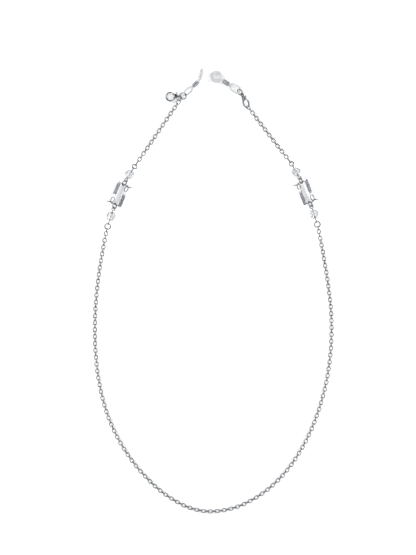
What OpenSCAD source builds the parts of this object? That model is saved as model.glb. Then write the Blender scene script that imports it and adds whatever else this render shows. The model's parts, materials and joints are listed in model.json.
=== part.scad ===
// Eyeglasses chain strap, laid out on a table as an open loop with its two ends at the top.
// +X right, +Y from the bottom of the loop towards the ends, +Z up. The table is z = 0.
// Every piece is placed by a walk along the strap: each piece hooks into the one before it.

/* [Chain] */
// Thickness of the chain's wire
link_wire = 0.6; // [0.45:0.05:0.7]
// Width of one oval link, outside
link_width = 2.8; // [2.5:0.1:3.6]
// Length of one oval link, outside
link_length = 3.55; // [3.4:0.05:4.8]
// Length of the longer link that joins the upper chain to its bead ring
connector_length = 5.0; // [3.6:0.1:6]
// Play between a link and the next one
link_play = 0.1; // [0.06:0.02:0.16]
// Links in each of the nine runs on each side of the middle run
run_links = 10; // [6:2:14]
// Links in each half of the middle run, not counting the middle link
middle_half_links = 8; // [4:2:12]
// Links in the lower run of the chain above the beads, left side
left_upper_links = 11; // [5:2:15]
// Links in the lower run of the chain above the beads, right side
right_upper_links = 11; // [5:2:15]

/* [Rings] */
// Thickness of the jump rings' wire
ring_wire = 0.7; // [0.5:0.05:0.8]
// Outer diameter of the jump rings
ring_d = 4.4; // [4.2:0.1:5.4]
// Outer diameter of the ring above the upper bead
bead_ring_d = 3.6; // [3.5:0.1:4.4]
// Outer diameter of the rings that hold the silicone loops
end_ring_d = 4.8; // [4.6:0.1:5.4]
// Play between a ring and what hangs on it
ring_play = 0.15; // [0.1:0.05:0.25]

/* [Beads and eye pins] */
// Diameter of a crystal bead
bead_d = 6; // [5:0.5:8]
// Length of a crystal bead along its hole
bead_l = 5.8; // [4.5:0.1:8]
// Thickness of the eye pins' wire
pin_wire = 0.6; // [0.5:0.05:0.7]
// Outer diameter of an eye pin's eyes
eye_d = 2.7; // [2.6:0.1:3.6]
// Radial clearance of a bead on its pin
bead_clearance = 0.08; // [0.04:0.01:0.1]
// Bare wire between an upper bead and each eye of its pin
upper_stem = 0.1; // [0.1:0.05:0.8]
// Bare wire between a lower bead and each eye of its pin
lower_stem = 0.7; // [0.1:0.05:1]

/* [Twin-leaf link] */
// Distance between the two bridge wires that the rings hold
leaf_span = 14.4; // [12:0.5:18]
// Distance between the middle lines of the two leaves
leaf_spacing = 6.2; // [5.8:0.1:8]
// Width of a leaf at its broad end
leaf_width = 2.4; // [1.8:0.1:2.8]
// Thickness of the leaves
leaf_thickness = 1.4; // [1:0.1:2]
// Thickness of the bridge wires
bridge_wire = 0.7; // [0.5:0.05:0.8]

/* [Clasps] */
// Outer diameter of a clasp's round jaw
jaw_d = 6.4; // [6:0.1:8]
// Thickness of the jaw's bar
jaw_bar = 0.95; // [0.8:0.05:1.1]
// Thickness of the neck that holds the trigger
neck_t = 2.2; // [2:0.1:3]
// Distance from the jaw's middle to the middle of the tail eye
tail_distance = 6.2; // [5.9:0.1:7.4]
// Thickness of the tail eye's wire
tail_wire = 0.8; // [0.6:0.05:0.9]
// Outer diameter of the tail eye
tail_d = 3.0; // [2.8:0.1:3.4]
// Diameter of the pin that the trigger turns on
pivot_d = 0.6; // [0.5:0.05:0.8]
// Radial clearance of the trigger on its pin
pivot_clearance = 0.04; // [0.02:0.01:0.08]
// Clearance between the trigger and the clasp's body
trigger_play = 0.12; // [0.1:0.02:0.2]

/* [Silicone loops] */
// Outer diameter of the loop that grips the spectacle arm
temple_loop_d = 8; // [6:0.2:9]
// Diameter of the hole that the spectacle arm goes through
temple_hole_d = 3.8; // [2.6:0.1:4.2]
// Thickness of the loop that grips the spectacle arm
silicone_t = 2.0; // [1.6:0.1:2.4]
// Outer width of the loop that holds the ring
ring_loop_d = 5.6; // [5:0.1:6.4]
// Thickness of the round strand of the loop that holds the ring
ring_strand = 1.4; // [1.2:0.1:1.6]
// Extra length of the loop that holds the ring
ring_loop_slot = 2.8; // [2:0.1:4]
// How far the right ring sits back from the end of its hole
ring_loop_slack = 0.5; // [0.2:0.1:0.6]
// Diameter of the neck inside the coil sleeve
neck_d = 2.1; // [1.8:0.1:2.4]
// Bend of the left silicone loop beyond its sleeve, in degrees
left_bend = 34; // [0:1:40]
// Length of a coil sleeve
sleeve_l = 4.6; // [3:0.1:6]
// Outer diameter of a coil sleeve
sleeve_d = 3.1; // [2.8:0.1:3.6]
// Radial clearance of a coil sleeve on the neck
sleeve_clearance = 0.05; // [0.03:0.01:0.1]
// How far a coil sleeve slides each way
sleeve_travel = 0.4; // [0.2:0.1:1]

/* [Hidden] */
$fn = 48;

SILVER = [0.82, 0.83, 0.85];
CRYSTAL = [0.90, 0.93, 0.95, 0.5];
SILICONE = [0.88, 0.90, 0.90, 0.7];
FLAT = 0;
ON_EDGE = 90;
LEANING = 55;

// Courses: the chain's heading in degrees from +X, by percent of the way from its middle.
LEFT_COURSE = [[0, 182], [10, 153], [20, 137], [30, 126], [40, 115], [50, 104],
               [60, 96], [70, 90], [80, 85], [90, 81], [100, 77]];
RIGHT_COURSE = [[0, 3], [10, 26], [20, 43], [30, 57], [40, 67], [50, 75],
                [60, 83], [70, 90], [80, 97], [90, 100], [100, 102]];
LEFT_UPPER_COURSE = [[0, 56], [50, 56], [100, 55]];
RIGHT_UPPER_COURSE = [[0, 128], [50, 127], [100, 128]];

// Sizes that follow from the ones above.
link_r = link_wire / 2;
link_bend_r = link_width / 2 - link_r;
link_reach = link_length / 2 - link_r;
link_pitch = 2 * link_reach - link_wire - link_play;
ring_r = ring_wire / 2;
ring_reach = ring_d / 2 - ring_r;
bead_ring_reach = bead_ring_d / 2 - ring_r;
end_ring_reach = end_ring_d / 2 - ring_r;
pin_r = pin_wire / 2;
eye_bend_r = eye_d / 2 - pin_r;
upper_pin_half = bead_l / 2 + upper_stem + eye_d / 2;
lower_pin_half = bead_l / 2 + lower_stem + eye_d / 2;
bridge_r = bridge_wire / 2;
tail_r = tail_wire / 2;
tail_bend_r = tail_d / 2 - tail_r;
jaw_r = jaw_bar / 2;
jaw_bend_r = jaw_d / 2 - jaw_r;
jaw_play = ring_play + 0.2;
half_links = middle_half_links + 9 * run_links;
connector_reach = connector_length / 2 - link_r;

// Silicone loop, measured along its neck from the sleeve's middle.
neck_half = sleeve_l / 2 + sleeve_travel + 0.1;
temple_stub = 0.8;
temple_centre = neck_half + temple_stub + temple_loop_d / 2;
ring_loop_near = neck_half + ring_loop_d / 2;
ring_loop_far = ring_loop_near + ring_loop_slot;
ring_loop_bend_r = (ring_loop_d - ring_strand) / 2;
silicone_reach = ring_loop_far + ring_loop_bend_r;

// Height of the strap's middle line: the chain stands on its edge links, the pins on their beads.
chain_z = link_width / 2;
pin_z = bead_d / 2;
climb_links = 6;
climb = asin((pin_z - chain_z + 0.1) / (climb_links * link_pitch + ring_d - 2.4 * ring_wire));
// The way down from the upper bead, through its ring, the connector and five links.
descent = asin((pin_z - chain_z + 0.1) / (2 * (bead_ring_reach + connector_reach) + 5 * link_pitch
    - 1.5 * (ring_r + pin_r + ring_play) - (link_wire + link_play) / 2));
rise_links = 4;
right_rise = asin((jaw_d / 2 * sin(LEANING) + 0.3 - chain_z) / (rise_links * link_pitch));
left_rise = 5;
dip = 14;
left_silicone_az = 42;
silicone_climb = 8;
left_twist = -35;

// A piece of the walk: reach and wire radius at its back, the same at its front,
// its heading, climb and roll in degrees, and the play between it and the piece before.
function link(az, el, roll) = [link_reach, link_r, link_reach, link_r, az, el, roll, link_play];
function ring(reach, az, el, roll) = [reach, ring_r, reach, ring_r, az, el, roll, ring_play];
function eye_pin(half, az) = [half + eye_bend_r, pin_r, half + eye_bend_r, pin_r, az, 0, 0, ring_play];
function leaf_link(az) = [leaf_span / 2, bridge_r, leaf_span / 2, bridge_r, az, 0, 0, ring_play];

function unit(az, el) = [cos(az) * cos(el), sin(az) * cos(el), sin(el)];
function ahead(p) = unit(p[4], p[5]);
function step(a, b) = a[2] * ahead(a) + b[0] * ahead(b)
    - (a[3] + b[1] + b[7]) * (ahead(a) + ahead(b)) / norm(ahead(a) + ahead(b));
function walk(pieces, start) =
    [for (i = 0, at = start; i < len(pieces);
          at = i + 1 < len(pieces) ? at + step(pieces[i], pieces[i + 1]) : at, i = i + 1) at];

// The chain below the beads: the middle link is on its edge, and so is every second one after it.
function lower_chain(course) =
    [for (i = [0 : half_links])
        link(lookup(100 * i / half_links, course),
             i > half_links - climb_links ? climb : 0, i % 2 == 0 ? ON_EDGE : FLAT)];
// The chain above the beads: a longer link on its edge, then links that come down to the table
// and, where they meet a clasp, go up again.
function upper_chain(course, count, last_rise) = concat(
    [[connector_reach, link_r, connector_reach, link_r, course[0][1], -descent, ON_EDGE, ring_play]],
    [for (i = [1 : count - 1])
        link(lookup(100 * i / count, course),
             i < climb_links ? -descent : i >= count - rise_links ? last_rise : 0,
             i % 2 == 0 ? ON_EDGE : FLAT)]);

left_upper_count = 2 * left_upper_links + 1;
right_upper_count = 2 * right_upper_links - 2;

LEFT = concat(
    lower_chain(LEFT_COURSE),
    [ring(ring_reach, 75, climb, FLAT), eye_pin(lower_pin_half, 71), ring(ring_reach, 71, -dip, LEANING),
     leaf_link(67), ring(ring_reach, 60, dip, LEANING), eye_pin(upper_pin_half, 58),
     ring(bead_ring_reach, 57, -descent, FLAT)],
    upper_chain(LEFT_UPPER_COURSE, left_upper_count, left_rise),
    [ring(end_ring_reach, 48, 0, FLAT),
     [silicone_reach, ring_strand / 2, 0, 0, left_silicone_az, silicone_climb, ON_EDGE, ring_play]]);
RIGHT = concat(
    lower_chain(RIGHT_COURSE),
    [ring(ring_reach, 106, climb, FLAT), eye_pin(lower_pin_half, 109), ring(ring_reach, 110, -dip, LEANING),
     leaf_link(112), ring(ring_reach, 117, dip, LEANING), eye_pin(upper_pin_half, 119),
     ring(bead_ring_reach, 122, -descent, FLAT)],
    upper_chain(RIGHT_UPPER_COURSE, right_upper_count, right_rise),
    [[jaw_bend_r, jaw_r, tail_distance + tail_bend_r, tail_r, 115, 0, 180 - LEANING, jaw_play],
     ring(end_ring_reach, 134, -8, -LEANING),
     [silicone_reach, ring_strand / 2, 0, 0, 147, -3, FLAT, ring_loop_slack]]);

// Where the pieces after the lower chain come in the lists.
CHAIN_RING = half_links + 1;
LOWER_PIN = half_links + 2;
LOWER_RING = half_links + 3;
LEAF_LINK = half_links + 4;
UPPER_RING = half_links + 5;
UPPER_PIN = half_links + 6;
BEAD_RING = half_links + 7;
UPPER_CHAIN = half_links + 8;
LEFT_END = UPPER_CHAIN + left_upper_count;
RIGHT_CLASP = UPPER_CHAIN + right_upper_count;
RIGHT_END = RIGHT_CLASP + 1;

// The origin is under the middle of the strap's outline.
LEFT_RAW = walk(LEFT, [0, 0, chain_z]);
RIGHT_RAW = walk(RIGHT, [0, 0, chain_z]);
left_edge = min([for (i = [0 : half_links]) LEFT_RAW[i].x]) - link_width / 2;
right_edge = max([for (i = [0 : half_links]) RIGHT_RAW[i].x]) + link_width / 2;
bottom_edge = min([for (i = [0 : half_links]) LEFT_RAW[i].y]) - link_width / 2;
left_tip = LEFT_RAW[LEFT_END + 1] + neck_half * unit(left_silicone_az, silicone_climb)
    + temple_loop_d * unit(left_silicone_az + left_bend, silicone_climb);
shift = -[(left_edge + right_edge) / 2, (bottom_edge + left_tip.y) / 2, 0];
LEFT_AT = [for (p = LEFT_RAW) p + shift];
RIGHT_AT = [for (p = RIGHT_RAW) p + shift];

// The left clasp hangs from the left end ring, beside the chain.
left_clasp_az = 182;
left_clasp_dip = 9;
left_clasp_at = LEFT_AT[LEFT_END]
    + (end_ring_reach - ring_r - tail_r - ring_play + tail_bend_r) * unit(left_clasp_az, 0)
    + tail_distance * unit(left_clasp_az, -left_clasp_dip);

module placed(at, piece) {
    translate(at) rotate([piece[6], -piece[5], piece[4]]) children();
}

// An oval link; its reach is from its middle to the middle of the wire at its ends.
module chain_link(reach) {
    straight = 2 * (reach - link_bend_r);
    for (side = [-1, 1]) {
        translate([side * straight / 2, 0, 0]) rotate([0, 0, -90 * side])
            rotate_extrude(angle = 180) translate([link_bend_r, 0]) circle(link_r, $fn = 24);
        translate([-straight / 2, side * link_bend_r, 0])
            rotate([0, 90, 0]) cylinder(h = straight, r = link_r, $fn = 24);
    }
}

module chain_run(places, pieces, first, last) {
    color(SILVER) for (i = [first : last]) placed(places[i], pieces[i]) chain_link(pieces[i][0]);
}

module wire_ring(bend_r, wire_r) {
    rotate_extrude() translate([bend_r, 0]) circle(wire_r, $fn = 24);
}

module jump_ring(reach) {
    color(SILVER) wire_ring(reach, ring_r);
}

// An eye at each end of a straight wire; each eye can be turned about the wire.
module eye_pin_piece(half, back_roll, front_roll) {
    color(SILVER) {
        translate([-half, 0, 0]) rotate([back_roll, 0, 0]) wire_ring(eye_bend_r, pin_r);
        translate([half, 0, 0]) rotate([front_roll, 0, 0]) wire_ring(eye_bend_r, pin_r);
        translate([eye_bend_r - half, 0, 0]) rotate([0, 90, 0])
            cylinder(h = 2 * (half - eye_bend_r), r = pin_r);
    }
}

// A round bead with bevelled ends, bored for its pin.
module bead() {
    end_r = bead_d * 0.25;
    shoulder = bead_l * 0.14;
    color(CRYSTAL) difference() {
        rotate([0, 90, 0]) rotate_extrude()
            polygon([[0, -bead_l / 2], [end_r, -bead_l / 2], [bead_d / 2, -shoulder],
                     [bead_d / 2, shoulder], [end_r, bead_l / 2], [0, bead_l / 2]]);
        rotate([0, 90, 0]) cylinder(h = 2 * bead_l, r = pin_r + bead_clearance, center = true);
    }
}

// One leaf: broad end at +X, a drop-shaped eye at -X and a short pointed tip outwards.
module leaf() {
    end_x = leaf_span / 2 + bridge_wire - leaf_width / 2;
    eye_r = leaf_width * 0.62;
    eye_x = eye_r - leaf_span / 2 - bridge_r * 0.6;
    eye_hole_r = eye_r - 0.65;
    linear_extrude(leaf_thickness, center = true) {
        difference() {
            union() {
                translate([end_x, 0]) circle(leaf_width / 2);
                translate([eye_x, 0]) circle(eye_r);
                polygon([[end_x, leaf_width / 2], [end_x, -leaf_width / 2],
                         [0, -leaf_width * 0.3], [eye_x, -eye_r], [eye_x, eye_r], [0, leaf_width * 0.3]]);
            }
            translate([eye_x, 0]) circle(eye_hole_r);
            polygon([[eye_x, eye_hole_r], [eye_x, -eye_hole_r], [eye_x * 0.45, 0]]);
        }
        translate([eye_x - eye_r, 0]) polygon([[0.9, 0.8], [0.2, 0.6], [-0.9, 3.4], [0.5, 2.0], [1.3, 1.2]]);
    }
}

// Two leaves head to tail, joined at each end by a bridge wire that a ring holds.
module leaf_pair() {
    color(SILVER) for (turn = [0, 180]) rotate([0, 0, turn]) {
        translate([0, leaf_spacing / 2, 0]) leaf();
        translate([leaf_span / 2, 0, 0]) rotate([90, 0, 0])
            cylinder(h = leaf_spacing, r = bridge_r, center = true);
    }
}

// Clasp. The jaw's middle is the origin and the tail is at +X. The mouth is on the +Y side.
mouth_from = 14;
mouth_to = 74;
pivot_x = jaw_d / 2 + 0.55;
pivot_y = 0.75;
hub_r = pivot_d / 2 + 0.42;
slot_t = 1.1;
slot_floor_y = -0.7;

module clasp_body() {
    color(SILVER) difference() {
        union() {
            rotate([0, 0, mouth_to]) rotate_extrude(angle = 340 - mouth_to)
                translate([jaw_bend_r, 0]) circle(jaw_r, $fn = 24);
            rotate([0, 0, mouth_to]) translate([jaw_bend_r, 0, 0]) sphere(jaw_r);
            translate([jaw_bend_r - jaw_r * 0.6, -1.3, -neck_t / 2])
                cube([tail_distance - tail_bend_r - jaw_bend_r + jaw_r * 0.6, 1.3, neck_t]);
            translate([pivot_x, pivot_y, 0]) cylinder(h = neck_t, r = hub_r + 0.1, center = true);
            translate([pivot_x - hub_r - 0.1, -0.6, -neck_t / 2]) cube([2 * hub_r + 0.2, pivot_y + 0.6, neck_t]);
            translate([tail_distance, 0, 0]) rotate([90, 0, 0]) wire_ring(tail_bend_r, tail_r);
        }
        translate([pivot_x, pivot_y, 0]) cylinder(h = slot_t, r = hub_r + trigger_play + 0.2, center = true);
        translate([pivot_x - hub_r - 2, slot_floor_y, -slot_t / 2])
            cube([hub_r + 2, jaw_d, slot_t]);
        translate([pivot_x, pivot_y, 0]) cylinder(h = 2 * neck_t, r = pivot_d / 2, center = true);
    }
}

module clasp_trigger() {
    blade_t = slot_t - 2 * trigger_play;
    color(SILVER) difference() {
        union() {
            translate([pivot_x, pivot_y, 0]) cylinder(h = blade_t, r = hub_r, center = true);
            intersection() {
                rotate([0, 0, mouth_from]) rotate_extrude(angle = mouth_to - mouth_from - 14)
                    translate([jaw_bend_r - jaw_r * 0.7, -blade_t / 2]) square([jaw_r * 1.4, blade_t]);
                translate([0, 0, -blade_t]) cube([jaw_d, jaw_d, 2 * blade_t]);
            }
            translate([jaw_bend_r - 0.2, pivot_y - hub_r * 0.4, -blade_t / 2])
                cube([pivot_x - jaw_bend_r + 0.2, hub_r * 0.9, blade_t]);
            translate([pivot_x, pivot_y, -blade_t / 2]) rotate([0, 0, 72])
                translate([0, -0.35, 0]) cube([2.2, 0.7, blade_t]);
        }
        translate([pivot_x, pivot_y, 0])
            cylinder(h = 2 * neck_t, r = pivot_d / 2 + pivot_clearance, center = true);
    }
}

module clasp_pin() {
    color(SILVER) translate([pivot_x, pivot_y, 0]) cylinder(h = neck_t, r = pivot_d / 2, center = true);
}

// A curved leaf spring behind the trigger's hub, inside the neck's slot.
module clasp_spring() {
    color("gray") translate([pivot_x, pivot_y, 0]) rotate([0, 0, -80])
        rotate_extrude(angle = 110) translate([hub_r + 0.1, -0.25]) square([0.12, 0.5]);
}

// Silicone: a flat temple loop and a round-stranded ring loop, joined by a round neck along X.
// The soft neck is bent beyond the sleeve, and twisted inside it.
module silicone_loop(bend, twist) {
    color(SILICONE) {
        rotate([0, 90, 0]) cylinder(h = 2 * neck_half, r = neck_d / 2, center = true);
        translate([neck_half, 0, 0]) {
            sphere(neck_d / 2);
            rotate([0, bend, 0]) difference() {
                union() {
                    rotate([0, 90, 0]) cylinder(h = 2, r = neck_d * 0.48);
                    translate([temple_stub + temple_loop_d / 2, 0, 0])
                        cylinder(h = silicone_t, r = temple_loop_d / 2, center = true);
                    translate([temple_stub, 0, 0]) linear_extrude(silicone_t, center = true)
                        polygon([[0, neck_d * 0.4], [0, -neck_d * 0.4],
                                 [temple_loop_d * 0.3, -temple_loop_d * 0.45],
                                 [temple_loop_d * 0.3, temple_loop_d * 0.45]]);
                }
                translate([temple_stub + temple_loop_d / 2, 0, 0])
                    cylinder(h = 2 * silicone_t, r = temple_hole_d / 2, center = true);
            }
        }
        rotate([twist, 0, 0]) {
            translate([-ring_loop_near, 0, 0]) rotate([0, 0, -90]) ring_loop_end();
            translate([-ring_loop_far, 0, 0]) rotate([0, 0, 90]) ring_loop_end();
            for (side = [-1, 1]) translate([-ring_loop_far, side * ring_loop_bend_r, 0])
                rotate([0, 90, 0]) cylinder(h = ring_loop_slot, r = ring_strand / 2);
            translate([-neck_half - 0.8, 0, 0]) rotate([0, 90, 0])
                cylinder(h = 1.4, r1 = ring_strand * 0.55, r2 = neck_d * 0.48);
        }
    }
}

module ring_loop_end() {
    rotate_extrude(angle = 180) translate([ring_loop_bend_r, 0]) circle(ring_strand / 2);
}

module coil_sleeve() {
    color(SILVER) rotate([0, 90, 0]) difference() {
        cylinder(h = sleeve_l, r = sleeve_d / 2, center = true);
        cylinder(h = 2 * sleeve_l, r = neck_d / 2 + sleeve_clearance, center = true);
    }
}

module left_clasp_place() {
    translate(left_clasp_at) rotate([0, -left_clasp_dip, left_clasp_az + 180]) children();
}
module right_clasp_place() { placed(RIGHT_AT[RIGHT_CLASP], RIGHT[RIGHT_CLASP]) children(); }
module left_place(i) { placed(LEFT_AT[i], LEFT[i]) children(); }
module right_place(i) { placed(RIGHT_AT[i], RIGHT[i]) children(); }

// First link of a numbered run of the lower chain.
function run_start(n) = middle_half_links + 1 + (n - 1) * run_links;

union() {  // middle_chain
    chain_run(LEFT_AT, LEFT, 0, middle_half_links);
    chain_run(RIGHT_AT, RIGHT, 1, middle_half_links);
}
for (n = [1 : 9]) {
    chain_run(LEFT_AT, LEFT, run_start(n), run_start(n + 1) - 1);
    chain_run(RIGHT_AT, RIGHT, run_start(n), run_start(n + 1) - 1);
}
left_place(CHAIN_RING) jump_ring(ring_reach);  // left_chain_ring
left_place(LOWER_PIN)  // left_lower_pin
    eye_pin_piece(lower_pin_half, ON_EDGE, FLAT);
left_place(LOWER_PIN) bead();  // left_lower_bead
left_place(LOWER_RING) jump_ring(ring_reach);  // left_lower_ring
left_place(LEAF_LINK) leaf_pair();  // left_leaf_link
left_place(UPPER_RING) jump_ring(ring_reach);  // left_upper_ring
left_place(UPPER_PIN)  // left_upper_pin
    eye_pin_piece(upper_pin_half, FLAT, ON_EDGE);
left_place(UPPER_PIN) bead();  // left_upper_bead
left_place(BEAD_RING) jump_ring(bead_ring_reach);  // left_bead_ring
chain_run(LEFT_AT, LEFT, UPPER_CHAIN, UPPER_CHAIN + left_upper_links - 1);  // left_upper_chain_1
chain_run(LEFT_AT, LEFT, UPPER_CHAIN + left_upper_links, LEFT_END - 1);  // left_upper_chain_2
left_place(LEFT_END) jump_ring(end_ring_reach);  // left_end_ring
left_clasp_place() clasp_body();  // left_clasp_body
left_clasp_place() clasp_trigger();  // left_clasp_trigger
left_clasp_place() clasp_pin();  // left_clasp_pin
left_clasp_place() clasp_spring();  // left_clasp_spring
left_place(LEFT_END + 1) silicone_loop(left_bend, left_twist);  // left_silicone_loop
left_place(LEFT_END + 1) coil_sleeve();  // left_coil_sleeve
right_place(CHAIN_RING) jump_ring(ring_reach);  // right_chain_ring
right_place(LOWER_PIN)  // right_lower_pin
    eye_pin_piece(lower_pin_half, ON_EDGE, FLAT);
right_place(LOWER_PIN) bead();  // right_lower_bead
right_place(LOWER_RING) jump_ring(ring_reach);  // right_lower_ring
right_place(LEAF_LINK) mirror([0, 1, 0]) leaf_pair();  // right_leaf_link
right_place(UPPER_RING) jump_ring(ring_reach);  // right_upper_ring
right_place(UPPER_PIN)  // right_upper_pin
    eye_pin_piece(upper_pin_half, FLAT, ON_EDGE);
right_place(UPPER_PIN) bead();  // right_upper_bead
right_place(BEAD_RING) jump_ring(bead_ring_reach);  // right_bead_ring
chain_run(RIGHT_AT, RIGHT, UPPER_CHAIN, UPPER_CHAIN + right_upper_links - 1);  // right_upper_chain_1
chain_run(RIGHT_AT, RIGHT, UPPER_CHAIN + right_upper_links, RIGHT_CLASP - 1);  // right_upper_chain_2
right_place(RIGHT_END) jump_ring(ring_reach);  // right_end_ring
right_clasp_place() clasp_body();  // right_clasp_body
right_clasp_place() clasp_trigger();  // right_clasp_trigger
right_clasp_place() clasp_pin();  // right_clasp_pin
right_clasp_place() clasp_spring();  // right_clasp_spring
right_place(RIGHT_END + 1) silicone_loop(0, 0);  // right_silicone_loop
right_place(RIGHT_END + 1) coil_sleeve();  // right_coil_sleeve
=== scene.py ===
"""Looks of an eyeglasses chain strap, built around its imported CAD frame.
Sizes are in metres, and +Y points to the two silicone ends."""

import json

import bpy
import numpy as np
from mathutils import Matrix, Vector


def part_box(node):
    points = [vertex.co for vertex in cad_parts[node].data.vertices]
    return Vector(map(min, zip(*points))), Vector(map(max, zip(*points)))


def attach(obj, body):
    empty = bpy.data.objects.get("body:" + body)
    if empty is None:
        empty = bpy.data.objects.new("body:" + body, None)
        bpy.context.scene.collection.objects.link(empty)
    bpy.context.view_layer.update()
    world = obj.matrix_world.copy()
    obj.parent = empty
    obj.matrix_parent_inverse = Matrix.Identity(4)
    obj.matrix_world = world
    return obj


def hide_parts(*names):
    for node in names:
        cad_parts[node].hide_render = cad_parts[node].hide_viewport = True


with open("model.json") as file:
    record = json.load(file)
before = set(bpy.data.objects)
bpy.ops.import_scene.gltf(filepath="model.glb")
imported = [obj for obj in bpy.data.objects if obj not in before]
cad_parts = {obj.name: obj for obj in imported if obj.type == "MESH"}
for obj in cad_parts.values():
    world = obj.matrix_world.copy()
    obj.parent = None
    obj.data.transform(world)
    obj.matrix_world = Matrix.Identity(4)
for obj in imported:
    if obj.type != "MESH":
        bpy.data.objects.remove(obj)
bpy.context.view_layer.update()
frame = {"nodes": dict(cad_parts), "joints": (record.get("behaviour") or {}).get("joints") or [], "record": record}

joints = {joint["name"]: joint for joint in frame["joints"]}
mounts = {mount["name"]: mount for mount in frame["record"]["mounts"]}
SIDES = ("left", "right")
UP = np.array([0.0, 0.0, 1.0])


# ---- Camera: it looks straight down on the strap laid out on the table, from 85 cm up with a long lens,
# so the loop shows without perspective. The short side of the frame spans 270 mm of table.
camera_at = (-3.4e-3, 9.2e-3, 853.2e-3)
camera = bpy.data.objects.new("camera", bpy.data.cameras.new("camera"))
camera.data.lens = 85
camera.data.sensor_width = 36
camera.location = camera_at
bpy.context.scene.collection.objects.link(camera)
bpy.context.scene.camera = camera


# ---- Table: a white, matt studio sheet that runs far past the strap on every side.
# The strap lies on it, and it catches only faint soft shadows.
def srgb(code, alpha=1.0):
    """An sRGB hex colour as linear red, green, blue and alpha. Up to 0.04045 it is a straight line, and above
    that the power 2.4."""
    value = np.array([int(code[i:i + 2], 16) for i in (1, 3, 5)]) / 255
    linear = np.where(value <= 0.04045, value / 12.92, ((value + 0.055) / 1.055) ** 2.4)
    return (*linear.tolist(), alpha)


def add(material, kind, sockets=None, **settings):
    """Adds one shader node. Each of sockets is a value, or the output socket that is linked to that input."""
    made = material.node_tree.nodes.new("ShaderNode" + kind)
    for name, value in settings.items():
        setattr(made, name, value)
    for name, value in (sockets or {}).items():
        if isinstance(value, bpy.types.NodeSocket):
            material.node_tree.links.new(value, made.inputs[name])
        else:
            made.inputs[name].default_value = value
    return made


def new_material(name):
    """An empty node material."""
    material = bpy.data.materials.new(name)
    material.use_nodes = True
    material.node_tree.nodes.clear()
    return material


def ramp(material, value, low, low_code, high, high_code):
    """A colour that follows a value: one sRGB hex code up to low, another from high on, and a blend between."""
    made = add(material, "ValToRGB", {"Fac": value})
    for stop, at, code in zip(made.color_ramp.elements, (low, high), (low_code, high_code)):
        stop.position, stop.color = at, srgb(code)
    return made.outputs["Color"]


def matt_white_paper(name):
    """Matt coated paper: white, with a barely visible mottle about 30 mm across and hardly any gloss. A light
    table shines through it faintly, which keeps the shadows pale."""
    material = new_material(name)
    spot = add(material, "TexCoord").outputs["Object"]
    mottle = add(material, "TexNoise", {"Vector": spot, "Scale": 1 / 30e-3, "Detail": 2.0}).outputs["Fac"]
    skin = add(material, "BsdfPrincipled", {
        "Base Color": ramp(material, mottle, 0.0, "#F6F6F6", 1.0, "#FBFBFB"), "Roughness": 0.85,
        "Specular IOR Level": 0.2, "Emission Color": srgb("#FFFFFF"), "Emission Strength": 0.24})
    add(material, "OutputMaterial", {"Surface": skin.outputs["BSDF"]})
    return material


table_half = 4.0
table_mesh = bpy.data.meshes.new("studio_table")
table_mesh.from_pydata([(-table_half, -table_half, 0), (table_half, -table_half, 0),
                        (table_half, table_half, 0), (-table_half, table_half, 0)], [], [(0, 1, 2, 3)])
table_mesh.materials.append(matt_white_paper("matt_white_paper"))
table = bpy.data.objects.new("studio_table", table_mesh)
bpy.context.scene.collection.objects.link(table)


# ---- Studio light: three large soft boxes stand round the table, 30 to 35 degrees up as seen from the strap,
# so that the sheet is evenly white. Metal mirrors the grey air above, and its edges the darker air low down.
def soft_box(name, at, width, depth, watts):
    """A rectangular area light at a point, aimed at the table's middle, where the strap lies."""
    light = bpy.data.lights.new(name, "AREA")
    light.shape = "RECTANGLE"
    light.size, light.size_y, light.energy = width, depth, watts
    lamp = bpy.data.objects.new(name, light)
    lamp.location = at
    lamp.rotation_euler = (-lamp.location).to_track_quat("-Z", "Y").to_euler()
    bpy.context.scene.collection.objects.link(lamp)


soft_box("left_box", (-2.0, 0.9, 1.5), 1.3, 1.5, 50)
soft_box("right_box", (2.1, 0.5, 1.5), 1.3, 1.5, 44)
soft_box("near_box", (0.2, -2.2, 1.3), 1.6, 0.9, 28)
world = bpy.data.worlds.new("studio_air")
world.use_nodes = True
# The air's grey follows the sine of the angle above the table: dark low down, mid grey overhead.
direction = add(world, "TexCoord").outputs["Generated"]
sine = add(world, "SeparateXYZ", {"Vector": direction}).outputs["Z"]
grey = ramp(world, sine, 0.10, "#1E1F21", 0.75, "#A0A2A5")
world.node_tree.links.new(grey, world.node_tree.nodes["Background"].inputs["Color"])
bpy.context.scene.world = world
bpy.context.scene.view_settings.view_transform = "Standard"


# ---- Cable chain: oval links of 0.6 mm round wire, each hooked through the next a quarter turn away.
# Drawn brass wire is wound, cut and closed by machine, then the chain is tumbled and silver plated.
def surface(rows, closed):
    """The closed skin over a grid of points, each row going once round. Corners (i, j), (i, j+1), (i+1, j+1)
    and (i+1, j) make a face. The last row joins the first if closed. Otherwise each end row is a face too."""
    along, around = rows.shape[:2]
    row = np.arange(along if closed else along - 1)[:, None]
    column = np.arange(around)[None, :]
    after, beside = (row + 1) % along, (column + 1) % around
    faces = np.stack([row * around + column, row * around + beside,
                      after * around + beside, after * around + column], -1).reshape(-1, 4).tolist()
    if not closed:
        faces += [list(range(around))[::-1], list(range((along - 1) * around, along * around))]
    return faces


def round_profile(sides, square=2.0):
    """Points round a unit circle, counter-clockwise. With square above 2 they are on a superellipse, a square
    with round corners, where the sum of both coordinates to the power of that number is 1."""
    turn = 2 * np.pi * (np.arange(sides) + 0.5) / sides
    corner = np.stack([np.cos(turn), np.sin(turn)], -1)
    return np.sign(corner) * np.abs(corner) ** (2 / square)


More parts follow.
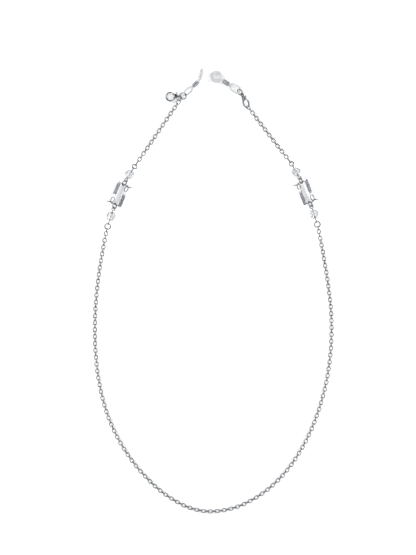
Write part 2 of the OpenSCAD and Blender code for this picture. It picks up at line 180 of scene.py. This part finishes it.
def carried(path, up, profile, across, high=None, closed=False):
    """A profile carried along a path. At each point of the path, the profile's first coordinate is laid along
    up x forward and its second along forward x that, and they are multiplied by across and by high. Gives the
    points, the faces and, on a closed path, how far each point is on the loop's inner side, from 0 to 1."""
    path = np.asarray(path, float)
    forward = np.roll(path, -1, 0) - np.roll(path, 1, 0) if closed else np.gradient(path, axis=0)
    forward /= np.linalg.norm(forward, axis=1, keepdims=True)
    side = np.cross(np.broadcast_to(up, path.shape), forward)
    side /= np.linalg.norm(side, axis=1, keepdims=True)
    rise = np.cross(forward, side)
    across = np.broadcast_to(across, len(path))[:, None, None]
    high = across if high is None else np.broadcast_to(high, len(path))[:, None, None]
    rows = (path[:, None] + across * profile[None, :, :1] * side[:, None]
            + high * profile[None, :, 1:] * rise[:, None])
    inner = np.broadcast_to((1 + profile[:, 0]) / 2 if closed else 0 * profile[:, 0], rows.shape[:2])
    return rows.reshape(-1, 3), surface(rows, closed), inner.reshape(-1)


def oval_path(half_straight, bend, steps):
    """A stadium: two half circles of radius bend about (half_straight, 0) and (-half_straight, 0), with steps
    parts in each half, and the middles of the two straights. It goes counter-clockwise."""
    turn = np.radians(np.linspace(-90, 90, steps + 1))
    right = np.stack([half_straight + bend * np.cos(turn), bend * np.sin(turn), 0 * turn], -1)
    middle = np.array([[0.0, bend, 0.0]])
    return np.concatenate([right, middle, -right, -middle])


def own_places(node, solids=True):
    """Centres and axes of the separate solids in a CAD node, or of the whole node. The triangles' corners are
    merged by position, then each takes the lowest number among its neighbours until nothing changes, which
    names the solids. The axes are those of a solid's spread, weighted by triangle area: the longest first."""
    mesh = frame["nodes"][node].data
    spots = np.zeros(len(mesh.vertices) * 3)
    mesh.vertices.foreach_get("co", spots)
    corners = np.zeros(len(mesh.polygons) * 3, int)
    mesh.polygons.foreach_get("vertices", corners)
    spots = spots.reshape(-1, 3)
    merged, index = np.unique(np.round(spots / 1e-7).astype(int), axis=0, return_inverse=True)
    triangles = index.reshape(-1)[corners].reshape(-1, 3)
    label = np.arange(len(merged))
    changed = solids
    while changed:
        lowest = label.copy()
        np.minimum.at(lowest, triangles, label[triangles].min(1, keepdims=True))
        lowest = lowest[lowest]
        changed = not np.array_equal(lowest, label)
        label = lowest
    label = label if solids else 0 * label
    corner = spots[corners].reshape(-1, 3, 3)
    area = np.linalg.norm(np.cross(corner[:, 1] - corner[:, 0], corner[:, 2] - corner[:, 0]), axis=1)
    middle = corner.mean(1)
    names, member = np.unique(label[triangles[:, 0]], return_inverse=True)
    member = member.reshape(-1)
    total = np.bincount(member, area)
    centre = np.stack([np.bincount(member, area * middle[:, k]) for k in range(3)], -1) / total[:, None]
    off = middle - centre[member]
    spread = np.zeros((len(names), 3, 3))
    np.add.at(spread, member, area[:, None, None] * off[:, :, None] * off[:, None, :])
    axes = np.linalg.eigh(spread / total[:, None, None])[1].transpose(0, 2, 1)[:, ::-1]
    axes[:, 2] = np.cross(axes[:, 0], axes[:, 1])
    return centre, axes


def put(shell, centre, axes):
    """A shell moved from its own axes to a place: centre + x X + y Y + z Z."""
    points, faces, inner = shell
    return centre + points @ np.asarray(axes), faces, inner


def piece(name, shells, material, body, nodes, smooth=True):
    """One object from closed shells. It rides on a body, takes a material and stands for CAD nodes, which it
    hides.
    """
    counts = np.cumsum([0] + [len(points) for points, faces, inner in shells])
    faces = [[corner + start for corner in face]
             for (points, shell_faces, inner), start in zip(shells, counts.tolist()) for face in shell_faces]
    mesh = bpy.data.meshes.new(name)
    mesh.from_pydata(np.concatenate([shell[0] for shell in shells]), [], faces)
    mesh.attributes.new("inner_side_painted_shade", "FLOAT", "POINT").data.foreach_set(
        "value", np.concatenate([shell[2] for shell in shells]).astype(np.float32))
    mesh.polygons.foreach_set("use_smooth", np.full(len(mesh.polygons), smooth))
    mesh.materials.append(material)
    made = bpy.data.objects.new(name, mesh)
    bpy.context.scene.collection.objects.link(made)
    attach(made, body)
    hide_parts(*nodes)
    return made


def silver_plate(name, bright, dull, painted_shade, polish, worn, cloud, scratch):
    """Silver plate over brass: a neutral mirror with clouds where the polish is duller, painted shade that darkens
    the inner side of a loop towards the fourth colour, and fine scratches. Polish and worn are the lowest and
    highest roughness, cloud the size of a cloud and scratch the spacing of the scratches, in metres."""
    material = new_material(name)
    spot = add(material, "TexCoord").outputs["Object"]
    clouds = add(material, "TexNoise", {"Vector": spot, "Scale": 1 / cloud, "Detail": 3.0}).outputs["Fac"]
    tone = ramp(material, clouds, 0.30, dull, 0.62, bright)
    inner = add(material, "Attribute", attribute_name="inner_side_painted_shade").outputs["Fac"]
    # Painted shade: the inner side of a loop is mixed towards a near-black colour, standing in for the shade in
    # its hollow.
    recess_shade = add(material, "MapRange", {"Value": inner, "From Min": 0.45, "From Max": 1.0, "To Max": 0.8})
    # A Mix node's colours A and B are its inputs 6 and 7, and their blend is its output 2.
    colour = add(material, "Mix", {"Factor": recess_shade.outputs["Result"], 6: tone, 7: srgb(painted_shade)},
                 data_type="RGBA")
    rough = add(material, "MapRange", {"Value": clouds, "From Min": 0.3, "From Max": 0.7,
                                       "To Min": worn, "To Max": polish}).outputs["Result"]
    lines = add(material, "TexNoise", {"Vector": spot, "Scale": 1 / scratch, "Detail": 2.0}).outputs["Fac"]
    bump = add(material, "Bump", {"Height": lines, "Strength": 0.10, "Distance": 0.02e-3}).outputs["Normal"]
    skin = add(material, "BsdfPrincipled", {"Base Color": colour.outputs[2], "Metallic": 1.0,
                                            "Roughness": rough, "Normal": bump})
    add(material, "OutputMaterial", {"Surface": skin.outputs["BSDF"]})
    return material


# Each silver plate's fourth colour is the near-black painted shade on the inner side of loops.
tumbled_wire = silver_plate("tumbled_silver_plated_wire", "#909295", "#66696C", "#1E2023",
                            0.07, 0.16, 0.9e-3, 0.12e-3)
link_wire, link_width, link_length, connector_length = 0.6e-3, 2.8e-3, 3.55e-3, 5.0e-3
link_bend = (link_width - link_wire) / 2
neighbour_reach = 3.4e-3
chain_nodes = ["middle_chain"]
for side in SIDES:
    chain_nodes += [f"{side}_chain_{number}" for number in range(1, 10)]
    chain_nodes += [f"{side}_upper_chain_1", f"{side}_upper_chain_2"]
for node in chain_nodes:
    centres, axes = own_places(node)
    # A link points along the sum of the unit steps to its neighbours, the links whose middles are within reach.
    steps = centres[None] - centres[:, None]
    apart = np.linalg.norm(steps, axis=2, keepdims=True)
    steps = np.where((apart > 0) & (apart < neighbour_reach), steps / np.maximum(apart, 1e-9), 0)
    heading = (steps * np.sign(steps @ axes[:, 0, :, None])).sum(1)
    axes[:, 1] = np.cross(axes[:, 2], heading)
    axes[:, 1] /= np.linalg.norm(axes[:, 1], axis=1, keepdims=True)
    axes[:, 0] = np.cross(axes[:, 1], axes[:, 2])
    # The first link above a bead, nearest its ring, is longer than the others.
    links = []
    connector = np.zeros(len(centres), bool)
    if node.endswith("upper_chain_1"):
        ring_at = np.array(joints[node + "_bend"]["pos_m"])
        connector[np.argmin(np.linalg.norm(centres - ring_at, axis=1))] = True
    for centre, axis, longer in zip(centres, axes, connector):
        length = connector_length if longer else link_length
        path = oval_path((length - link_width) / 2, link_bend, 7)
        links.append(put(carried(path, UP, round_profile(6), link_wire / 2, closed=True), centre, axis))
    piece(node + "_links", links, tumbled_wire, node, [node])


# ---- Jump rings: 0.7 mm round wire wound on a rod and cut, closed with pliers so that the two cut ends
# meet in a fine butt seam. They join the chain, the eye pins, the leaf links and the silicone ends.
ring_wire, ring_d, bead_ring_d, end_ring_d = 0.7e-3, 4.4e-3, 3.6e-3, 4.8e-3
seam_half_angle = 1.2
turn = np.radians(np.linspace(seam_half_angle, 360 - seam_half_angle, 57))
for side in SIDES:
    for name, size in (("chain_ring", ring_d), ("lower_ring", ring_d), ("upper_ring", ring_d),
                       ("bead_ring", bead_ring_d), ("end_ring", end_ring_d)):
        (centre,), (axes,) = own_places(f"{side}_{name}", solids=False)
        seam = np.cross(axes[2], [1.0, 0.0, 0.0])
        seam /= np.linalg.norm(seam)
        bend = (size - ring_wire) / 2
        path = bend * np.stack([np.cos(turn), np.sin(turn), 0 * turn], -1)
        points, faces, inner = carried(path, UP, round_profile(14), ring_wire / 2)
        # How far each point is on the ring's inner side, which the plating material darkens as painted shade.
        inner = np.clip((bend - np.linalg.norm(points[:, :2], axis=1)) / ring_wire + 0.5, 0, 1)
        ring = put((points, faces, inner), centre, [seam, np.cross(axes[2], seam), axes[2]])
        node = f"{side}_{name}"
        piece(node + "_wire", [ring], tumbled_wire, node, [node])


# ---- Eye pins: 0.6 mm wire with an eye turned at each end, at a quarter turn to each other. The wire runs
# through the bead, and each eye is turned round until its end meets the stem again.
def domed(start, end, radius, rings=4):
    """Path and radii of a straight rod with a dome on each end: along the dome the radius falls as a cosine
    while the path goes on as a sine. The dome stops at 84 degrees, with a small flat."""
    start, end = np.asarray(start, float), np.asarray(end, float)
    forward = (end - start) / np.linalg.norm(end - start)
    lean = np.radians(np.linspace(0, 84, rings + 1))
    out = radius * np.sin(lean)[:, None] * forward
    return (np.concatenate([(start + radius * forward - out)[::-1], end - radius * forward + out]),
            np.concatenate([(radius * np.cos(lean))[::-1], radius * np.cos(lean)]))


pin_wire, eye_d = 0.6e-3, 2.7e-3
eye_bend = (eye_d - pin_wire) / 2
eye_turn = np.radians(np.linspace(8, 349, 41))
# Each pin's level, half the distance between its eyes, and whether its back eye is the one that stands upright.
pins = (("lower", 4.95e-3, True), ("upper", 4.35e-3, False))
for side in SIDES:
    for level, half, back_turned in pins:
        spin = joints[f"{side}_{level}_bead_spin"]
        along = np.array(spin["axis"])
        axes = [along, np.cross(UP, along), UP]
        stem, radii = domed([eye_bend - half, 0, 0], [half - eye_bend, 0, 0], pin_wire / 2)
        shells = [carried(stem, UP, round_profile(12), radii)]
        for end, turned in ((-1, back_turned), (1, not back_turned)):
            away = end * (half + 0 * eye_turn) - end * eye_bend * np.cos(eye_turn)
            over = eye_bend * np.sin(eye_turn)
            flat = np.stack([away, 0 * over, over] if turned else [away, over, 0 * over], -1)
            points, faces, inner = carried(flat, [0, 1, 0] if turned else UP, round_profile(12), pin_wire / 2)
            # How far each point is on the eye's inner side, which the plating material darkens as painted shade.
            from_eye = np.linalg.norm(points - [end * half, 0, 0], axis=1)
            shells.append((points, faces, np.clip((eye_bend - from_eye) / pin_wire + 0.5, 0, 1)))
        pin = [put(shell, np.array(spin["pos_m"]), axes) for shell in shells]
        name = f"{side}_{level}_pin"
        piece(name + "_wire", pin, tumbled_wire, name, [name])


# ---- Crystal beads: 6 mm clear cut glass, bored along the axis. Each end has a small flat table, then two
# rows of triangular facets up to a belt of upright ones. They are machine cut and polished bright.
def cut_crystal(name):
    """Cut crystal: clear polished glass of index 1.54 with a grey cast, and faint polishing haze in patches.
    The light that a thin clear bead lets straight through is the share that alpha leaves out."""
    material = new_material(name)
    spot = add(material, "TexCoord").outputs["Object"]
    haze = add(material, "TexNoise", {"Vector": spot, "Scale": 1 / 1.5e-3, "Detail": 2.0}).outputs["Fac"]
    rough = add(material, "MapRange", {"Value": haze, "From Min": 0.4, "From Max": 0.75,
                                       "To Min": 0.0, "To Max": 0.06}).outputs["Result"]
    cast = ramp(material, haze, 0.0, "#FAFBFC", 1.0, "#F1F3F5")
    skin = add(material, "BsdfPrincipled", {"Base Color": cast, "Roughness": rough, "IOR": 1.54,
                                            "Transmission Weight": 1.0, "Alpha": 0.75})
    add(material, "OutputMaterial", {"Surface": skin.outputs["BSDF"]})
    return material


def faceted(rows):
    """Flat faces over rows of ten points round X: triangles between two rows whose stagger differs, as those
    points are half a step apart, and four-sided faces between others. Rows are (x, radius, stagger), and the
    last joins the first."""
    count = 10
    x, radius, stagger = np.array(rows).T
    turn = 2 * np.pi * (np.arange(count)[None, :] + stagger[:, None] / 2) / count
    points = np.stack([np.repeat(x[:, None], count, 1), radius[:, None] * np.cos(turn),
                       radius[:, None] * np.sin(turn)], -1).reshape(-1, 3)
    faces = []
    for row in range(len(rows)):
        after = (row + 1) % len(rows)
        k = np.arange(count)
        n = (k + 1) % count
        a, a1, b, b1 = row * count + k, row * count + n, after * count + k, after * count + n
        if stagger[row] == stagger[after]:
            faces += np.stack([a, a1, b1, b], -1).tolist()
        elif stagger[after]:
            faces += np.stack([a, a1, b], -1).tolist() + np.stack([a1, b1, b], -1).tolist()
        else:
            faces += np.stack([a, b1, b], -1).tolist() + np.stack([a, a1, b1], -1).tolist()
    return points, faces, np.zeros(len(points))


bead_d, bead_l, bore_d = 6.0e-3, 5.8e-3, 0.76e-3
table_r, middle_row, belt_end = 0.26 * bead_d, (0.33 * bead_l, 0.42 * bead_d), 0.14 * bead_l
half_rows = [(bead_l / 2, bore_d / 2, 0), (bead_l / 2, table_r, 0), (*middle_row, 1), (belt_end, bead_d / 2, 0)]
bead_rows = [(-x, r, s) for x, r, s in half_rows] + half_rows[::-1]
clear_crystal = cut_crystal("polished_cut_crystal")
for side in SIDES:
    for level in ("lower", "upper"):
        spin = joints[f"{side}_{level}_bead_spin"]
        along = np.array(spin["axis"])
        bead = put(faceted(bead_rows), np.array(spin["pos_m"]), [along, np.cross(UP, along), UP])
        name = f"{side}_{level}_bead"
        piece(name + "_crystal", [bead], clear_crystal, name, [name], smooth=False)


# ---- Twin-leaf links: two slim leaves head to tail, cast with the bridge wires that the rings hold, then
# polished and plated. A leaf is ribbed lengthwise at its broad end and narrows to an oval eye.
def ribbed_profile(ribs, depth):
    """A square with cut corners whose upper side has lengthwise grooves: its height falls by depth times
    half of 1 minus a cosine of the place across, which has ribs waves."""
    flat, wall = 0.9, 0.88
    across = np.linspace(flat, -flat, 8 * ribs + 1)
    top = 1 - depth * (1 - np.cos(2 * np.pi * ribs * (across + flat) / (2 * flat))) / 2
    low = [(-1, wall), (-1, 0), (-1, -wall), (-flat, -1), (0, -1), (flat, -1), (1, -wall), (1, 0), (1, wall)]
    return np.concatenate([np.stack([across, top], -1), low])


# A leaf's sizes, along its own X: where the bar starts at the eye, the stretch over which it widens, where
# it rounds off and over what length, and its end. The rest are the eye's middle, the bar, the rim and the tip.
bar_start, bar_widens_over, bar_round_at, bar_round, bar_end = -3.3e-3, 3.0e-3, 6.6e-3, 1.3e-3, 7.9e-3
eye_x, leaf_t, ribs, groove = -4.75e-3, 1.4e-3, 3, 0.11
bar_narrow, bar_widening, bar_thins_below = 0.55e-3, 0.65e-3, 0.5e-3
bar_sag, sag_from, sag_over = 0.25e-3, 1.5e-3, 5e-3
rim_y, rim_half_l, rim_half_w, rim_half, rim_squeeze = -0.35e-3, 1.95e-3, 1.08e-3, 0.30e-3, 0.35
tip_from, tip_run, tip_half, tip_end_half = (-1.55e-3, -0.2e-3), (-0.95e-3, 3.5e-3), 0.45e-3, 0.03e-3
# How much painted shade the rim and the tip get, on the scale of a loop's inner side.
rim_painted_shade, tip_painted_shade = 0.85, 0.95


def leaf_shells():
    """One leaf, broad end at +X: a flat bar whose half width falls to about half at the eye and closes at the
    broad end in a quarter ellipse, a rim along an oval that is slimmer on the bar's side, and a tapered tip."""
    rounding = bar_round * (1 - np.sin(np.radians([15, 30, 45, 60, 75, 86])))
    x = np.concatenate([np.linspace(bar_start, bar_round_at, 21), bar_end - rounding])
    half = bar_narrow + bar_widening * np.clip((x - bar_start) / bar_widens_over, 0, 1) ** 0.7
    half = half * np.sqrt(np.clip(1 - ((x - bar_round_at) / bar_round).clip(0) ** 2, 0.004, 1))
    y = -bar_sag * np.clip((sag_from - x) / sag_over, 0, 1)
    height = leaf_t / 2 * np.clip(half / bar_thins_below, 0.3, 1)
    bar = carried(np.stack([x, y, 0 * x], -1), UP, ribbed_profile(ribs, groove), half, height)
    turn = np.radians(np.linspace(0, 360, 49)[:-1])
    slimmer = 1 - rim_squeeze * np.clip(np.cos(turn), 0, 1)
    rim_path = np.stack([eye_x + rim_half_l * np.cos(turn), rim_y + rim_half_w * np.sin(turn) * slimmer,
                         0 * turn], -1)
    rim = carried(rim_path, UP, round_profile(16, 3.2), rim_half, leaf_t / 2 * 0.95, closed=True)
    s = np.linspace(0, 1, 14)
    tip_path = np.stack([eye_x + tip_from[0] + tip_run[0] * s, tip_from[1] + tip_run[1] * s ** 1.15, 0 * s], -1)
    tip = carried(tip_path, UP, round_profile(16, 3.0), tip_half * (1 - s) ** 0.7 + tip_end_half,
                  leaf_t / 2 * (1 - 0.7 * s))
    # The rim and the tip get painted shade: they take a fixed share of the darkening of a loop's inner side, so
    # they show as dark outlines.
    return [bar, (*rim[:2], 0 * rim[2] + rim_painted_shade), (*tip[:2], 0 * tip[2] + tip_painted_shade)]


def box_middle(node):
    """The middle of a CAD node's box."""
    low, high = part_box(node)
    return (np.array(low) + np.array(high)) / 2


cast_plate = silver_plate("cast_polished_silver_plate", "#CED0D3", "#A6A9AD", "#1C1E21",
                          0.08, 0.20, 1.6e-3, 0.15e-3)
leaf_span, leaf_spacing, bridge_wire = 14.4e-3, 6.2e-3, 0.7e-3
for side in SIDES:
    name = f"{side}_leaf_link"
    sideways = np.array(joints[name + "_fold"]["axis"])
    axes = np.array([np.cross(sideways, UP), sideways, UP])
    shells = []
    for half_turn in (1, -1):
        for points, faces, inner in leaf_shells():
            points = (points + [0, leaf_spacing / 2, 0]) * [half_turn, half_turn, 1]
            if side == "right":
                points, faces = points * [1, -1, 1], [face[::-1] for face in faces]
            shells.append((points, faces, inner))
        path, radii = domed([half_turn * leaf_span / 2, -leaf_spacing / 2, 0],
                            [half_turn * leaf_span / 2, leaf_spacing / 2, 0], bridge_wire / 2)
        shells.append(carried(path, UP, round_profile(14), radii))
    shells = [put(shell, box_middle(name), axes) for shell in shells]
    piece(name + "_casting", shells, cast_plate, name, [name])


# ---- Lobster clasps: a cast body with a round jaw, a forked neck and a tail eye. A trigger turns on a pin in
# the fork and closes the mouth, and a leaf spring pushes it shut. All are plated but for the spring.
def drum(x, y, low, high, radius, edge=0.14e-3):
    """A short round boss along Z with its two rims rolled off over a quarter circle of radius edge."""
    lean = np.radians([0, 30, 60, 90])
    z = np.concatenate([low + edge * (1 - np.cos(lean)), high - edge * (1 - np.cos(lean))[::-1]])
    r = np.concatenate([radius - edge * (1 - np.sin(lean)), (radius - edge * (1 - np.sin(lean)))[::-1]])
    return carried(np.stack([x + 0 * z, y + 0 * z, z], -1), [0, 1, 0], round_profile(28), r)


# A clasp's sizes, along its own X from the jaw's middle to the tail, with its pin along Z.
jaw_bend, jaw_bar, jaw_mouth, jaw_root, swell_over, swell = 2.725e-3, 0.95e-3, 74, 340, 50, 0.35
neck_from, neck_run, neck_half, neck_narrows = (1.9e-3, -1.15e-3), (3.5e-3, 0.85e-3), 0.62e-3, 0.12e-3
neck_t, slot_t, pin_boss, neck_boss, neck_boss_x = 2.2e-3, 1.1e-3, 0.82e-3, 0.95e-3, 0.05e-3
tail_at, tail_bend, tail_wire = 6.2e-3, 1.0e-3, 0.8e-3
pivot = np.array([3.75e-3, 0.75e-3, 0.0])
hub, blade_t, blade_half = 0.72e-3, 0.86e-3, 0.34e-3
blade_mouth, blade_closes_from, blade_closes_over, blade_back = 59, 50, 9.4, 13
blade_root, blade_root_half = [[3.05e-3, 0.66e-3, 0], [3.5e-3, 0.74e-3, 0]], [0.36e-3, 0.38e-3]
lever_l, lever_angle, lever_half, knob_swell = 2.2e-3, np.radians(72), 0.27e-3, 0.13e-3


def clasp_body_shells():
    """Jaw: a round bar on a circle from 74 to 340 degrees, swelling towards the neck and domed at the mouth.
    Neck: a rounded square bar from the jaw to the tail eye, which is a round wire on a circle at a right
    angle to the jaw's. Fork: two cheeks of two bosses each, one on each side of the slot."""
    turn = np.radians(np.linspace(jaw_mouth, jaw_root, 45))
    lean = np.radians([84, 60, 40, 20])
    dome = np.radians(jaw_mouth) - jaw_bar / 2 / jaw_bend * np.sin(lean)
    towards_neck = np.clip((turn - np.radians(jaw_root - swell_over)) / np.radians(swell_over), 0, 1)
    thicker = 1 + swell * towards_neck ** 1.5
    angle = np.concatenate([dome, turn])
    radius = jaw_bar / 2 * np.concatenate([np.cos(lean), thicker])
    jaw_path = jaw_bend * np.stack([np.cos(angle), np.sin(angle), 0 * angle], -1)
    jaw = carried(jaw_path, UP, round_profile(16), radius)
    s = np.linspace(0, 1, 16)
    neck_path = np.stack([neck_from[0] + neck_run[0] * s, neck_from[1] + neck_run[1] * s ** 0.8, 0 * s], -1)
    close = np.sqrt(np.clip(1 - (2 * s - 1) ** 8, 0.02, 1))
    neck = carried(neck_path, UP, round_profile(24, 3.2), (neck_half - neck_narrows * s) * close,
                   neck_t / 2 * (1 - 0.30 * s ** 2) * close)
    bosses = ((pivot[0], pivot[1], pin_boss), (pivot[0] + neck_boss_x, 0.0, neck_boss))
    cheeks = [drum(x, y, *sorted((flip * slot_t / 2, flip * neck_t / 2)), r)
              for flip in (-1, 1) for x, y, r in bosses]
    turn = np.radians(np.linspace(0, 360, 41)[:-1])
    tail_path = np.stack([tail_at + tail_bend * np.cos(turn), 0 * turn, tail_bend * np.sin(turn)], -1)
    tail = carried(tail_path, [0, -1, 0], round_profile(14), tail_wire / 2, closed=True)
    return [jaw, neck, tail] + cheeks


def clasp_trigger_shells():
    """Blade: a flat rounded bar on the jaw's circle from 59 degrees back to the hub. Hub: a boss on the pin.
    Thumb lever: a bar that leaves the hub at 72 degrees and swells to a round knob."""
    turn = np.radians(np.linspace(blade_mouth, blade_back, 17))
    closing = ((turn - np.radians(blade_closes_from)) / np.radians(blade_closes_over)).clip(0)
    slim = np.sqrt(np.clip(1 - closing ** 2, 0.03, 1))
    blade_path = jaw_bend * np.stack([np.cos(turn), np.sin(turn), 0 * turn], -1)
    blade_path = np.concatenate([blade_path, blade_root])
    width = np.concatenate([blade_half * slim, blade_root_half])
    blade = carried(blade_path, UP, round_profile(16, 2.8), width, blade_t / 2 * np.concatenate([slim, [1, 1]]))
    s = np.linspace(0, 1, 14)
    lever_path = pivot + lever_l * s[:, None] * np.array([np.cos(lever_angle), np.sin(lever_angle), 0])
    knob = lever_half + knob_swell * np.clip((s - 0.45) / 0.35, 0, 1) ** 2
    end = np.sqrt(np.clip(1 - ((s - 0.84) / 0.165).clip(0) ** 2, 0.03, 1))
    lever = carried(lever_path, UP, round_profile(16, 2.4), knob * end, blade_t / 2 * end)
    return [blade, lever, drum(pivot[0], pivot[1], -blade_t / 2, blade_t / 2, hub, 0.1e-3)]


clasp_plate = silver_plate("cast_barrel_polished_silver_plate", "#97999C", "#6B6E71", "#1E2023",
                           0.08, 0.18, 1.2e-3, 0.13e-3)
spring_strip = silver_plate("blued_spring_steel_strip", "#8D9096", "#6B6E74", "#3A3B3F",
                            0.22, 0.40, 0.5e-3, 0.08e-3)
# A known point of each clasp, and how far along the clasp's own X it is: the left jaw's middle, and the outer
# end of the right tail's middle line.
known_point = {"left": (mounts["left_clasp_mouth"]["pos_m"], 0.0),
               "right": (joints["right_end_ring_fold"]["pos_m"], tail_at + tail_bend)}
for side in SIDES:
    press = joints[f"{side}_clasp_trigger_press"]
    point, point_x = known_point[side]
    pivot_at, axle = np.array(press["pos_m"]), np.array(press["axis"])
    ahead = 1 if pivot[0] > point_x else -1
    reach = (pivot_at - np.array(point)) * ahead
    reach /= np.linalg.norm(reach)
    lean = np.arctan2(ahead * pivot[1], ahead * (pivot[0] - point_x))
    tailward = reach * np.cos(lean) - np.cross(axle, reach) * np.sin(lean)
    axes = np.array([tailward, np.cross(axle, tailward), axle])
    jaw_middle = pivot_at - pivot @ axes
    for name, shells in (("clasp_body", clasp_body_shells()), ("clasp_trigger", clasp_trigger_shells())):
        node = f"{side}_{name}"
        shells = [put(shell, jaw_middle, axes) for shell in shells]
        piece(node + "_casting", shells, clasp_plate, node, [node])
    for name, finish in (("clasp_pin", clasp_plate), ("clasp_spring", spring_strip)):
        inside = frame["nodes"][f"{side}_{name}"]
        inside.data.materials.clear()
        inside.data.materials.append(finish)


# ---- Silicone loops: soft milky silicone moulded in one piece. A round hole grips the spectacle arm, a neck
# goes through the coil sleeve, and a round strand holds the end ring. The left one is bent and twisted.
def milky_silicone(name):
    """Moulded silicone rubber: milky and half clear, index 1.41, with a soft sheen and the mould's fine
    matt texture."""
    material = new_material(name)
    spot = add(material, "TexCoord").outputs["Object"]
    cloud = add(material, "TexNoise", {"Vector": spot, "Scale": 1 / 2.5e-3, "Detail": 3.0}).outputs["Fac"]
    milk = ramp(material, cloud, 0.3, "#D6D8D9", 0.7, "#E6E7E7")
    rough = add(material, "MapRange", {"Value": cloud, "From Min": 0.3, "From Max": 0.7,
                                       "To Min": 0.30, "To Max": 0.42}).outputs["Result"]
    grain = add(material, "TexNoise", {"Vector": spot, "Scale": 1 / 0.15e-3}).outputs["Fac"]
    bump = add(material, "Bump", {"Height": grain, "Strength": 0.15, "Distance": 0.02e-3}).outputs["Normal"]
    skin = add(material, "BsdfPrincipled", {
        "Base Color": milk, "Roughness": rough, "IOR": 1.41, "Normal": bump,
        "Transmission Weight": 0.35, "Subsurface Weight": 0.5, "Subsurface Radius": (1.0, 1.0, 1.0),
        "Subsurface Scale": 1.2e-3})
    add(material, "OutputMaterial", {"Surface": skin.outputs["BSDF"]})
    return material


def bent(points, start, over, degrees):
    """Points bent about Y round x = start: the angle grows in proportion over a stretch of length over, with
    start in its middle. Each point keeps its distance from the middle line, which is the sum of the steps of
    the turned X axis, worked out over 15 mm on each side."""
    line_half = 15e-3
    s = np.linspace(-line_half, line_half, 3001)
    angle = np.radians(degrees) * np.clip((s - start) / over + 0.5, 0, 1)
    step = s[1] - s[0]
    line_x = s[0] + np.concatenate([[0], np.cumsum(np.cos(angle[:-1]) * step)])
    line_z = -np.concatenate([[0], np.cumsum(np.sin(angle[:-1]) * step)])
    here = np.interp(points[:, 0], s, angle)
    return np.stack([np.interp(points[:, 0], s, line_x) + points[:, 2] * np.sin(here), points[:, 1],
                     np.interp(points[:, 0], s, line_z) + points[:, 2] * np.cos(here)], -1)


# A silicone loop's sizes, along its own X from the neck's middle: both loops, the rod, the web and the taper.
temple_at, temple_bend, temple_half, silicone_half_t = 7.4e-3, 2.95e-3, 1.03e-3, 0.97e-3
strand_at, strand_straight, strand_bend, strand_r = 7.0e-3, 1.4e-3, 2.1e-3, 0.68e-3
rod_half, rod_r, rod_from, rod_to = 2.8e-3, 1.05e-3, -3.6e-3, 4.6e-3
web_gap, web_l, web_widens = 0.1e-3, 1.8e-3, 1.3e-3
taper_l, taper_end_r, taper_widens = 1.0e-3, 0.80e-3, 0.25e-3


def silicone_shells(twist):
    """Temple loop: a rounded bar on a circle. Ring loop: a round strand on a stadium, turned about the neck.
    Neck: a round rod. Past its ends a flat web widens to the temple loop and a tapered rod meets the strand."""
    turn = np.radians(np.linspace(0, 360, 65)[:-1])
    temple = np.stack([temple_at + temple_bend * np.cos(turn), temple_bend * np.sin(turn), 0 * turn], -1)
    oval = oval_path(strand_straight, strand_bend, 20) - [strand_at, 0, 0]
    c, s = np.cos(np.radians(twist)), np.sin(np.radians(twist))
    oval = oval @ np.array([[1, 0, 0], [0, c, s], [0, -s, c]])
    soft = round_profile(24, 2.7)
    shells = [carried(temple, UP, soft, temple_half, silicone_half_t, closed=True),
              carried(oval, (0, -s, c), round_profile(20), strand_r, closed=True)]
    path, radii = domed([rod_from, 0, 0], [rod_to, 0, 0], rod_r)
    shells.append(carried(path, UP, round_profile(24), radii))
    t = np.linspace(0, 1, 10)
    web = np.stack([rod_half + web_gap + web_l * t, 0 * t, 0 * t], -1)
    shells.append(carried(web, UP, soft, rod_r * 0.9 + web_widens * t ** 1.3, silicone_half_t * 0.95 + 0 * t))
    taper = np.stack([-rod_half - taper_l + taper_l * t, 0 * t, 0 * t], -1)
    shells.append(carried(taper, UP, round_profile(20), taper_end_r + taper_widens * t))
    return shells


def upright_axes(along):
    """Three axes: one along a direction, the level one across it, and the one that stands on both."""
    level = np.cross(UP, along)
    level /= np.linalg.norm(level)
    return np.array([along, level, np.cross(along, level)])


moulded_silicone = milky_silicone("milky_moulded_silicone")
left_twist, left_bend, left_bend_start, left_bend_over, voxel = -35, 34, 3.2e-3, 1.4e-3, 0.13e-3
for side in SIDES:
    axes = upright_axes(np.array(joints[f"{side}_coil_sleeve_slide"]["axis"]))
    shells = silicone_shells(left_twist if side == "left" else 0)
    if side == "left":
        axes = np.array([axes[0], axes[2], -axes[1]])
        shells = [(bent(points, left_bend_start, left_bend_over, left_bend), faces, inner)
                  for points, faces, inner in shells]
    shells = [put(shell, box_middle(f"{side}_coil_sleeve"), axes) for shell in shells]
    name = f"{side}_silicone_loop"
    loop = piece(name + "_moulding", shells, moulded_silicone, name, [name])
    one_skin = loop.modifiers.new("one_skin", "REMESH")
    one_skin.mode, one_skin.voxel_size, one_skin.use_smooth_shade = "VOXEL", voxel, True
    flow = loop.modifiers.new("mould_fillets", "SMOOTH")
    flow.factor, flow.iterations = 0.5, 8


# ---- Coil sleeves: drawn spring wire wound closely round the silicone neck, turn against turn. They slide
# along the neck to tighten the temple loop.
sleeve_l, sleeve_d, sleeve_wire, sleeve_turns = 4.6e-3, 3.1e-3, 0.46e-3, 9.9
wound_wire = silver_plate("close_wound_plated_spring_wire", "#B4B6B9", "#85888C", "#2A2C30",
                          0.10, 0.20, 0.8e-3, 0.10e-3)
turn = np.linspace(0, 2 * np.pi * sleeve_turns, 301)
coil_bend = (sleeve_d - sleeve_wire) / 2
coil = np.stack([(sleeve_l - sleeve_wire) * (turn / turn[-1] - 0.5),
                 coil_bend * np.cos(turn), coil_bend * np.sin(turn)], -1)
for side in SIDES:
    name = f"{side}_coil_sleeve"
    axes = upright_axes(np.array(joints[name + "_slide"]["axis"]))
    winding = put(carried(coil, [1.0, 0.0, 0.0], round_profile(10), sleeve_wire / 2), box_middle(name), axes)
    piece(name + "_winding", [winding], wound_wire, name, [name])
